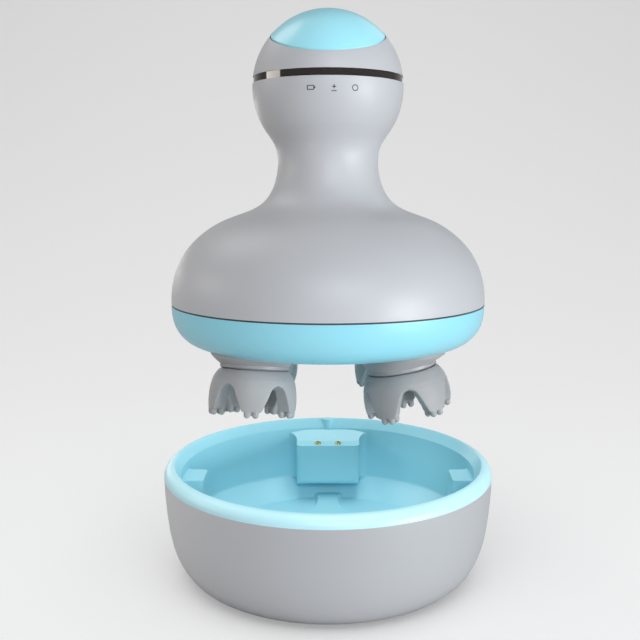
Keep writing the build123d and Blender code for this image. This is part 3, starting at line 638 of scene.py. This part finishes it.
@dataclass
class ChargingDock:
    """Grey bowl with its pale blue tray, charging pins and everything under the floor."""

    pins: tuple[str, ...] = ("charge_pin_left", "charge_pin_right")

    def build(self) -> None:
        """Dress the dock's nodes; each pin gets its own painted shade, a dark spot standing in for a
        hollow tip.
        """
        dress(DOCK_GREY, "dock_shell")
        # The tray's rim is painted lighter: painted light on its top face.
        dress(TRAY_BLUE, "dock_tray")
        dress(BLACK_PLASTIC, "dock_bottom")
        dress(FOOT_RUBBER, "dock_feet")
        for name in self.pins:
            low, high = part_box(name)
            middle = (low + high) / 2
            # Each pin's painted shade is centred on its own axis.
            dress(replace(HOLLOW_SHADE_GOLD, name=f"{name}_gold", centre=(middle.x, middle.y)), name)


@dataclass(frozen=True)
class KnobBall:
    """Sphere that the knob is turned to: its radius and the height of its centre."""

    radius: float
    centre_z: float

    @classmethod
    def measured(cls) -> "KnobBall":
        """Find the sphere through the window's upper ring and the cap's highest point.

        Returns:
            The knob's sphere.
        """
        crown_low, crown_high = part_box("crown_shell")
        ring_radius = (crown_high.x - crown_low.x) / 2
        ring_z = max(crown_low.z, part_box("indicator_window")[1].z)
        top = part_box("power_button")[1].z
        rise = top - ring_z
        radius = (ring_radius**2 + rise**2) / (2 * rise)
        return cls(radius, top - radius)

    def front(self, x: float, z: float, proud: float) -> Vector:
        """Point on the knob's front, off its surface.

        Args:
            x: Distance to the right of the knob's middle.
            z: Height above the knob's centre.
            proud: Distance out of the surface, or into it if negative.

        Returns:
            The point in the scene.
        """
        y = -math.sqrt((self.radius + proud) ** 2 - x**2 - z**2)
        return Vector((x, y, self.centre_z + z))


@dataclass
class PrintedSymbols:
    """Battery, plus-over-line and ring printed on the knob under the window."""

    drop: float = 2.85 * MM
    battery_x: float = -6.0 * MM
    battery_size: tuple[float, float] = (2.5 * MM, 1.6 * MM)
    tip_size: tuple[float, float] = (0.35 * MM, 0.7 * MM)
    level_x: float = 2.1 * MM
    level_size: float = 1.8 * MM
    level_gap: float = 1.15 * MM
    plus_size: float = 1.44 * MM
    ring_x: float = 9.4 * MM
    ring_radius: float = 0.95 * MM
    ring_steps: int = 32
    line: float = 0.3 * MM
    proud: float = 0.03 * MM
    buried: float = 0.2 * MM

    def bar(self, bm: bmesh.types.BMesh, at: tuple[float, float], size: tuple[float, float]) -> None:
        """Lay a flat bar in the X-Z plane.

        Args:
            bm: Mesh that takes the bar.
            at: Middle of the bar.
            size: Width and height of the bar.
        """
        width, height = size
        place = Matrix.Translation((at[0], 0.0, at[1])) @ Matrix.Diagonal((width, 1.0, height, 1.0))
        bmesh.ops.create_cube(bm, size=1.0, matrix=place)

    def battery(self, bm: bmesh.types.BMesh) -> None:
        """Outline a cell with its tip on the right.

        Args:
            bm: Mesh that takes the symbol.
        """
        width, height = self.battery_size
        x = self.battery_x
        for sign in (-1, 1):
            self.bar(bm, (x, sign * (height - self.line) / 2), (width, self.line))
            self.bar(bm, (x + sign * (width - self.line) / 2, 0.0), (self.line, height))
        self.bar(bm, (x + (width + self.tip_size[0]) / 2, 0.0), self.tip_size)

    def level(self, bm: bmesh.types.BMesh) -> None:
        """Draw a plus sign over a line.

        Args:
            bm: Mesh that takes the symbol.
        """
        x, rise = self.level_x, self.level_gap / 2
        self.bar(bm, (x, rise / 2), (self.plus_size, self.line))
        self.bar(bm, (x, rise / 2), (self.line, self.plus_size))
        self.bar(bm, (x, -self.level_gap), (self.level_size, self.line))

    def ring(self, bm: bmesh.types.BMesh) -> None:
        """Turn an open ring from a small square section.

        Args:
            bm: Mesh that takes the symbol.
        """
        place = Matrix.Translation((self.ring_x + self.ring_radius, 0.0, 0.0))
        flat = Matrix.Diagonal((self.line, 1.0, 1.0, 1.0))
        section = bmesh.ops.create_grid(
            bm, x_segments=1, y_segments=1, size=0.5, matrix=place @ flat
        )
        bmesh.ops.spin(
            bm,
            geom=list({face for vert in section["verts"] for face in vert.link_faces}),
            cent=(self.ring_x, 0.0, 0.0),
            axis=(0.0, 1.0, 0.0),
            angle=2 * math.pi,
            steps=self.ring_steps,
            use_merge=True,
        )

    def build(self) -> bpy.types.Object:
        """Wrap the flat symbols onto the knob's ball.

        Returns:
            The printed piece, riding on the handset.
        """
        bm = bmesh.new()
        self.battery(bm)
        self.level(bm)
        self.ring(bm)
        ball = KnobBall.measured()
        for vert in bm.verts:
            proud = self.proud if vert.co.y < 0 else -self.buried
            vert.co = ball.front(vert.co.x, vert.co.z - self.drop, proud)
        bmesh.ops.recalc_face_normals(bm, faces=bm.faces)
        piece = from_bmesh(bm, "printed_symbols", PRINT_INK.material())
        piece.data.shade_flat()
        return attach(piece, "handset")


@dataclass
class HandsetShells:
    """Shells that the hand holds: knob, neck and bell, window, seam, cover and cap."""

    symbols: PrintedSymbols = field(default_factory=PrintedSymbols)

    def build(self) -> None:
        """Dress the shells and print the symbols."""
        dress(SOFT_TOUCH, "main_shell", "crown_shell")
        dress(SKY_SATIN, "base_cover")
        # The cap takes the copy of the cover's satin with painted light.
        dress(CAP_BLUE_PAINTED_LIGHT, "power_button")
        dress(SMOKED_GLOSS, "indicator_window")
        dress(SEAL_RUBBER, "seam_gasket")
        log.info("built %s", self.symbols.build().name)


@dataclass(frozen=True)
class PadForm:
    """Sizes of the silicone pad in millimetres, with depths measured down from its head's pivot.

    The outline is the pad's outer radius and depth, from the collar's top to the fingers' feet.
    """

    outline: tuple[tuple[float, float], ...] = (
        (12.1, 2.5),
        (13.0, 3.1),
        (13.9, 4.3),
        (14.8, 6.0),
        (15.4, 8.2),
        (15.8, 11.0),
        (15.9, 14.0),
        (15.7, 17.0),
    )
    fingers: int = 5
    columns: int = 16
    rows: int = 44
    arch_apex: float = 7.7
    arch_radius: float = 3.3
    arch_flare: float = 0.42
    arch_middle: float = 15.5
    wall: float = 5.0
    weld: float = 0.001
    nub_ring: float = 13.1
    nub_pitch: float = 2.9
    nub_radius: float = 1.2
    nub_root: float = 1.2
    nub_reach: float = 2.3
    nub_segments: int = 16

    @property
    def top(self) -> float:
        """Depth of the collar's upper edge."""
        return self.outline[0][1]

    @property
    def foot(self) -> float:
        """Depth of the fingers' feet."""
        return self.outline[-1][1]

    def radius(self, drop: float) -> float:
        """Find the outer radius at a depth.

        Args:
            drop: Depth below the pivot.

        Returns:
            The radius, straight between the outline's points.
        """
        for (r0, d0), (r1, d1) in zip(self.outline, self.outline[1:]):
            if drop <= d1:
                share = (drop - d0) / (d1 - d0)
                return r0 + (r1 - r0) * share
        return self.outline[-1][0]

    def arch_half(self, drop: float) -> float:
        """Find half the width of the arch between two fingers: a round top, then straight flares.

        Args:
            drop: Depth below the pivot.

        Returns:
            Half the arch's width, or 0 above the arch.
        """
        depth = drop - self.arch_apex
        if depth <= 0:
            return 0.0
        slope = math.atan(self.arch_flare)
        turn = self.arch_radius * (1.0 - math.sin(slope))
        if depth < turn:
            return math.sqrt(2 * self.arch_radius * depth - depth**2)
        return self.arch_radius * math.cos(slope) + self.arch_flare * (depth - turn)

    def finger_half(self, drop: float) -> float:
        """Half the angle that one finger spans at a depth."""
        return math.pi / self.fingers - math.asin(self.arch_half(drop) / self.arch_middle)


@dataclass(frozen=True)
class HeadFrame:
    """Pivot of one leaning head and its across, along and up directions."""

    pivot: Vector
    across: Vector
    along: Vector
    up: Vector

    @classmethod
    def of(cls, number: int) -> "HeadFrame":
        """Read a head's pivot and lean from its joint.

        Args:
            number: Number of the head.

        Returns:
            The head's frame.
        """
        joint = next(j for j in frame["joints"] if j["name"] == f"head_{number}_wobble")
        pivot, up = Vector(joint["pos_m"]), Vector(joint["axis"]).normalized()
        across = Vector((0.0, 1.0, 0.0)).cross(up).normalized()
        return cls(pivot, across, up.cross(across), up)

    def matrix(self) -> Matrix:
        """Build the matrix that places a form in millimetres, made about an upright pivot.

        Returns:
            Scale to metres, lean and move to the pivot in one matrix.
        """
        place = Matrix((self.across, self.along, self.up)).transposed().to_4x4()
        place.translation = self.pivot
        return place @ Matrix.Scale(MM, 4)


@dataclass
class SiliconePad:
    """Soft five-fingered pad of one head."""

    number: int
    finger_turn: float
    form: PadForm = PadForm()
    voxel: float = 0.3 * MM
    smoothing: int = 3
    smoothing_share: float = 0.5

    def finger(self, bm: bmesh.types.BMesh, turn: float) -> None:
        """Wrap a grid onto one finger and the part of the collar above it.

        Args:
            bm: Mesh that takes the finger's outer skin.
            turn: Angle of the finger's middle.
        """
        form = self.form
        grid = bmesh.ops.create_grid(bm, x_segments=form.columns, y_segments=form.rows, size=1.0)
        for vert in grid["verts"]:
            drop = form.top + (form.foot - form.top) * (1.0 - vert.co.y) / 2
            angle = turn + vert.co.x * form.finger_half(drop)
            radius = form.radius(drop)
            vert.co = Vector((radius * math.cos(angle), radius * math.sin(angle), -drop))

    def nub(self, bm: bmesh.types.BMesh, at: Matrix) -> None:
        """Make one round-ended nub.

        Args:
            bm: Mesh that takes the nub.
            at: Place of the nub's root on the finger's foot.
        """
        form = self.form
        length = form.nub_root + form.nub_reach - form.nub_radius
        stem = Matrix.Translation((0.0, 0.0, form.nub_root - length / 2))
        end = Matrix.Translation((0.0, 0.0, form.nub_root - length))
        bmesh.ops.create_cone(
            bm,
            cap_ends=True,
            segments=form.nub_segments,
            radius1=form.nub_radius,
            radius2=form.nub_radius,
            depth=length,
            matrix=at @ stem,
        )
        bmesh.ops.create_uvsphere(
            bm,
            u_segments=form.nub_segments,
            v_segments=form.nub_segments // 2,
            radius=form.nub_radius,
            matrix=at @ end,
        )

    def nubs(self, bm: bmesh.types.BMesh, turn: float) -> None:
        """Set four nubs in a square under one finger's tip.

        Args:
            bm: Mesh that takes the nubs.
            turn: Angle of the finger's middle.
        """
        form = self.form
        around = Matrix.Rotation(turn, 4, "Z")
        half = form.nub_pitch / 2
        for out in (-half, half):
            for side in (-half, half):
                self.nub(bm, around @ Matrix.Translation((form.nub_ring + out, side, -form.foot)))

    def build(self, head: HeadFrame, material: bpy.types.Material) -> bpy.types.Object:
        """Mould the pad: fingers and collar in one skin, thickened inwards, nubs joined on.

        Args:
            head: Frame of its head.
            material: Silicone to dress it with.

        Returns:
            The pad, in the place of its CAD node.
        """
        form = self.form
        first = math.radians(self.finger_turn + 90.0)
        turns = [first + 2 * math.pi * finger / form.fingers for finger in range(form.fingers)]
        bm = bmesh.new()
        for turn in turns:
            self.finger(bm, turn)
        bmesh.ops.remove_doubles(bm, verts=bm.verts, dist=form.weld)
        face_outwards(bm, Vector())
        bmesh.ops.solidify(bm, geom=bm.faces, thickness=form.wall)
        for turn in turns:
            self.nubs(bm, turn)
        bmesh.ops.transform(bm, matrix=head.matrix(), verts=bm.verts)
        piece = from_bmesh(bm, f"silicone_pad_{self.number}", material)
        remesh = piece.modifiers.new("even_skin", "REMESH")
        remesh.mode = "VOXEL"
        remesh.voxel_size = self.voxel
        soften = piece.modifiers.new("soft_edges", "SMOOTH")
        soften.factor = self.smoothing_share
        soften.iterations = self.smoothing
        applied(piece)
        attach(piece, f"head_{self.number}")
        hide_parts(f"head_pad_{self.number}")
        return piece


@dataclass
class ElastomerSkirt:
    """Thin skirt of one head, from the base cover's cuff down to the leaning neck."""

    number: int
    segments: int = 72
    rings: int = 8
    wall: float = 1.1 * MM
    bulge: float = 0.3 * MM
    cuff_rise: float = 0.6 * MM
    neck_radius: float = 12.5 * MM
    neck_drop: float = 0.96 * MM

    def ring(self, bm: bmesh.types.BMesh, radius: float, place: Matrix) -> list[bmesh.types.BMEdge]:
        """Lay one ring of the skirt.

        Args:
            bm: Mesh that takes the ring.
            radius: Radius of the ring.
            place: Place and lean of the ring.

        Returns:
            The ring's edges.
        """
        circle = bmesh.ops.create_circle(bm, segments=self.segments, radius=radius, matrix=place)
        verts = set(circle["verts"])
        return [edge for edge in bm.edges if set(edge.verts) <= verts]

    def build(self, head: HeadFrame, material: bpy.types.Material) -> bpy.types.Object:
        """Loft the skirt through leaning rings and run its cuff up into the cover.

        Args:
            head: Frame of its head.
            material: Elastomer to dress it with.

        Returns:
            The skirt, fixed in the scene in place of its CAD node.
        """
        low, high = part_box(f"skirt_{self.number}")
        cuff_radius = (high.x - low.x) / 2
        cuff_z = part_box("base_cover")[0].z + self.cuff_rise
        cuff = Vector((head.pivot.x, head.pivot.y, cuff_z))
        neck = head.pivot - head.up * self.neck_drop
        upright = Vector((0.0, 0.0, 1.0))
        bm = bmesh.new()
        loops: list[list[bmesh.types.BMEdge]] = []
        for ring in range(self.rings + 1):
            share = ring / self.rings
            radius = cuff_radius + (self.neck_radius - cuff_radius) * share
            radius += self.bulge * math.sin(math.pi * share)
            lean = upright.rotation_difference(upright.lerp(head.up, share).normalized())
            place = Matrix.Translation(cuff.lerp(neck, share)) @ lean.to_matrix().to_4x4()
            loops.append(self.ring(bm, radius, place))
            if ring:
                bmesh.ops.bridge_loops(bm, edges=loops[-2] + loops[-1])
        rim = bmesh.ops.extrude_edge_only(bm, edges=loops[0])
        lifted = [item for item in rim["geom"] if isinstance(item, bmesh.types.BMVert)]
        bmesh.ops.translate(bm, verts=lifted, vec=(0.0, 0.0, high.z - cuff.z))
        face_outwards(bm, cuff)
        piece = from_bmesh(bm, f"elastomer_skirt_{self.number}", material)
        wall = piece.modifiers.new("wall", "SOLIDIFY")
        wall.thickness = self.wall
        wall.offset = -1.0
        applied(piece)
        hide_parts(f"skirt_{self.number}")
        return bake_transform(piece)


@dataclass
class MassageHeads:
    """The four leaning heads: elastomer skirt, core and soft pad on each."""

    finger_turns: tuple[float, ...] = (36.0, 0.0, 39.5, 0.0)

    def build(self) -> None:
        """Build each head's soft pieces and dress its hard ones."""
        silicone, elastomer = SILICONE.material(), ELASTOMER.material()
        for number, turn in enumerate(self.finger_turns, start=1):
            head = HeadFrame.of(number)
            pad = SiliconePad(number, turn).build(head, silicone)
            skirt = ElastomerSkirt(number).build(head, elastomer)
            for piece in (pad, skirt):
                log.info("built %s: %d faces", piece.name, len(piece.data.polygons))
        dress(CORE_GREY, *(f"head_core_{number + 1}" for number in range(len(self.finger_turns))))


@dataclass
class InnerWorks:
    """Gear train, chassis and electronics inside the shells and the dock."""

    heads: int = 4

    def numbered(self, stem: str) -> list[str]:
        """Names of a node that each head has one of."""
        return [f"{stem}_{number}" for number in range(1, self.heads + 1)]

    def build(self) -> None:
        """Dress every hidden node."""
        dress(
            STEEL,
            "dock_screws",
            "power_inlet",
            "gearbox_screws",
            "base_screws",
            "sun_axle",
            "compound_axle",
            "motor_can",
            "motor_screws",
            "motor_shaft",
            *self.numbered("crank"),
        )
        dress(GOLD, "pin_barrels", "charge_pads", "motor_pinion")
        dress(BRONZE, "output_bushes")
        dress(NYLON, "sun_gear", "compound_gear", "switch_plunger", *self.numbered("output_gear"))
        dress(
            BLACK_PLASTIC,
            "gearbox_lower",
            "gearbox_upper",
            "battery_cradle",
            "knob_frame",
            "tact_switch",
            "board_components",
        )
        dress(SOLDER_MASK, "main_board", "button_board", "indicator_board", "dock_board")
        dress(CELL_WRAP, "battery_cell")


# ---- Studio ----


@dataclass(frozen=True)
class SoftLight:
    """One area light aimed at the object."""

    name: str
    at: Place
    width: float
    height: float
    watts: float
    tint: Colour = (1.0, 1.0, 1.0)
    aim: Place = (0.0, 0.0, 0.11)

    def build(self, works_on: bpy.types.Collection) -> bpy.types.Object:
        """Hang the light, turn it to its aim and link it to what it works on.

        Args:
            works_on: Collection whose light linking says what the light reaches.

        Returns:
            The light's object.
        """
        lamp = bpy.data.lights.new(self.name, "AREA")
        lamp.shape = "RECTANGLE"
        lamp.size, lamp.size_y = self.width, self.height
        lamp.energy = self.watts
        lamp.color = self.tint
        light = bpy.data.objects.new(self.name, lamp)
        light.location = self.at
        ray = Vector(self.aim) - Vector(self.at)
        light.rotation_euler = ray.to_track_quat("-Z", "Y").to_euler()
        light.light_linking.receiver_collection = works_on
        bpy.context.scene.collection.objects.link(light)
        log.info("hung %s", light.name)
        return light


@dataclass
class Studio:
    """Seamless pale sweep, soft lights and the camera."""

    camera_distance: float = 331.6 * MM
    camera_height: float = 150.0 * MM
    pitch: float = 9.19
    focal_pixels: float = 856.3
    image_pixels: float = 640.0
    centre_pixel: tuple[float, float] = (328.0, 329.7)
    sensor: float = 36.0
    sweep_half: float = 3.0
    sweep_back: float = 0.3
    sweep_rise: float = 1.6
    sweep_radius: float = 1.3
    sweep_steps: int = 24
    surroundings: Colour = (0.98, 0.99, 1.0)
    ambient: float = 0.18
    horizon: float = 0.8
    floor_glow: float = 0.33
    lights: tuple[SoftLight, ...] = (
        SoftLight("right_softbox", (0.98, -0.69, 0.08), 0.6, 0.24, 12.5, (0.90, 0.97, 1.0)),
        SoftLight("front_softbox", (0.15, -1.05, 0.62), 0.6, 0.5, 6.0, (0.90, 0.95, 1.0)),
        SoftLight("left_softbox", (-0.75, 0.01, 0.30), 0.4, 0.15, 0.88, (1.0, 0.95, 0.86)),
        SoftLight("back_left_softbox", (-0.67, 0.39, 1.0), 0.6, 0.6, 3.0, (1.0, 0.99, 0.96)),
        SoftLight("rear_left_softbox", (-0.5, 0.85, 0.1), 0.4, 0.2, 1.2, (1.0, 0.98, 0.95)),
        SoftLight("rear_right_softbox", (0.5, 0.75, 0.85), 0.5, 0.5, 0.6, (0.93, 0.97, 1.0)),
        SoftLight("top_softbox", (0.0, 0.1, 1.3), 0.8, 0.8, 0.5),
    )
    tray_light: SoftLight = SoftLight(
        "dock_softbox", (0.1, 0.0, 1.1), 0.7, 0.7, 6.2, (0.96, 0.99, 1.0), (0.0, 0.0, 0.03)
    )
    bowl_light: SoftLight = SoftLight(
        "bowl_side_softbox", (-0.8, 0.0, 0.06), 0.4, 0.2, 2.2, (1.0, 0.99, 0.97), (0.0, 0.0, 0.03)
    )
    floor_light: SoftLight = SoftLight(
        "floor_softbox", (0.0, -0.3, 1.5), 1.6, 1.6, 21.5, aim=(0.0, 0.0, 0.0)
    )

    def paper(self) -> bpy.types.Material:
        """Make the backdrop's paper, which looks a little brighter than it lights.

        Returns:
            The sweep's material.
        """
        paper = BACKDROP_PAPER.material()
        tree = paper.node_tree
        shader = tree.nodes["Principled BSDF"]
        shader.inputs["Emission Color"].default_value = (1.0, 1.0, 1.0, 1.0)
        seen = tree.nodes.new("ShaderNodeLightPath")
        glow = tree.nodes.new("ShaderNodeMath")
        glow.operation = "MULTIPLY"
        glow.inputs[1].default_value = self.floor_glow
        wire(
            tree,
            (seen.outputs["Is Camera Ray"], glow.inputs[0]),
            (glow.outputs[0], shader.inputs["Emission Strength"]),
        )
        return paper

    def sweep(self) -> bpy.types.Object:
        """Make the floor that curves up into a back wall.

        Returns:
            The stage mesh.
        """
        bm = bmesh.new()
        half = self.sweep_half
        front = [bm.verts.new((x, -half, 0.0)) for x in (-half, half)]
        run = bmesh.ops.extrude_edge_only(bm, edges=[bm.edges.new(front)])
        verts = [item for item in run["geom"] if isinstance(item, bmesh.types.BMVert)]
        bmesh.ops.translate(bm, verts=verts, vec=(0.0, half + self.sweep_back, 0.0))
        bend = [item for item in run["geom"] if isinstance(item, bmesh.types.BMEdge)]
        turned = bmesh.ops.spin(
            bm,
            geom=verts + bend,
            cent=(0.0, self.sweep_back, self.sweep_radius),
            axis=(1.0, 0.0, 0.0),
            angle=math.pi / 2,
            steps=self.sweep_steps,
        )
        top = [item for item in turned["geom_last"] if isinstance(item, bmesh.types.BMEdge)]
        wall = bmesh.ops.extrude_edge_only(bm, edges=top)
        verts = [item for item in wall["geom"] if isinstance(item, bmesh.types.BMVert)]
        bmesh.ops.translate(bm, verts=verts, vec=(0.0, 0.0, self.sweep_rise))
        bmesh.ops.recalc_face_normals(bm, faces=bm.faces)
        return from_bmesh(bm, "sweep", self.paper())

    def camera(self) -> None:
        """Place the camera; its shift puts the optical axis on its own pixel of the frame."""
        data = bpy.data.cameras.new("camera")
        data.sensor_width = self.sensor
        data.lens = self.focal_pixels / self.image_pixels * self.sensor
        half = self.image_pixels / 2
        data.shift_x = (half - self.centre_pixel[0]) / self.image_pixels
        data.shift_y = (self.centre_pixel[1] - half) / self.image_pixels
        camera = bpy.data.objects.new("camera", data)
        camera.location = (0.0, -self.camera_distance, self.camera_height)
        camera.rotation_euler = (math.radians(90.0 - self.pitch), 0.0, 0.0)
        bpy.context.scene.collection.objects.link(camera)
        bpy.context.scene.camera = camera

    def world(self) -> None:
        """Set even soft surroundings, dimmer as a light than they look."""
        world = bpy.data.worlds.new("surroundings")
        world.use_nodes = True
        tree = world.node_tree
        background = tree.nodes["Background"]
        background.inputs["Color"].default_value = (*self.surroundings, 1.0)
        seen = tree.nodes.new("ShaderNodeLightPath")
        level = tree.nodes.new("ShaderNodeMapRange")
        level.inputs["To Min"].default_value = self.ambient
        level.inputs["To Max"].default_value = self.horizon
        wire(
            tree,
            (seen.outputs["Is Camera Ray"], level.inputs["Value"]),
            (level.outputs["Result"], background.inputs["Strength"]),
        )
        bpy.context.scene.world = world

    def only(self, name: str, piece: bpy.types.Object) -> bpy.types.Collection:
        """Collect one piece, for a light that works on it alone.

        Args:
            name: Name of the collection.
            piece: Object that the light works on.

        Returns:
            The new collection.
        """
        chosen = bpy.data.collections.new(name)
        chosen.objects.link(piece)
        return chosen

    def build(self) -> None:
        """Set up the sweep, lights, surroundings and camera."""
        bpy.context.scene.view_settings.view_transform = "Standard"
        sweep = self.sweep()
        all_but_sweep = self.only("object_lighting", sweep)
        all_but_sweep.collection_objects[0].light_linking.link_state = "EXCLUDE"
        for light in self.lights:
            light.build(all_but_sweep)
        tray = self.only("tray_lighting", frame["nodes"]["dock_tray"])
        self.tray_light.build(tray).light_linking.blocker_collection = tray
        self.bowl_light.build(self.only("bowl_lighting", frame["nodes"]["dock_shell"]))
        self.floor_light.build(self.only("floor_lighting", sweep))
        self.world()
        self.camera()


def main() -> None:
    """Build and dress the object, then the studio round it."""
    logging.basicConfig(level=logging.INFO, format="%(name)s: %(message)s")
    for assembly in (ChargingDock(), HandsetShells(), MassageHeads(), InnerWorks(), Studio()):
        assembly.build()
        log.info("finished %s", type(assembly).__name__)


if __name__ == "__main__":
    main()
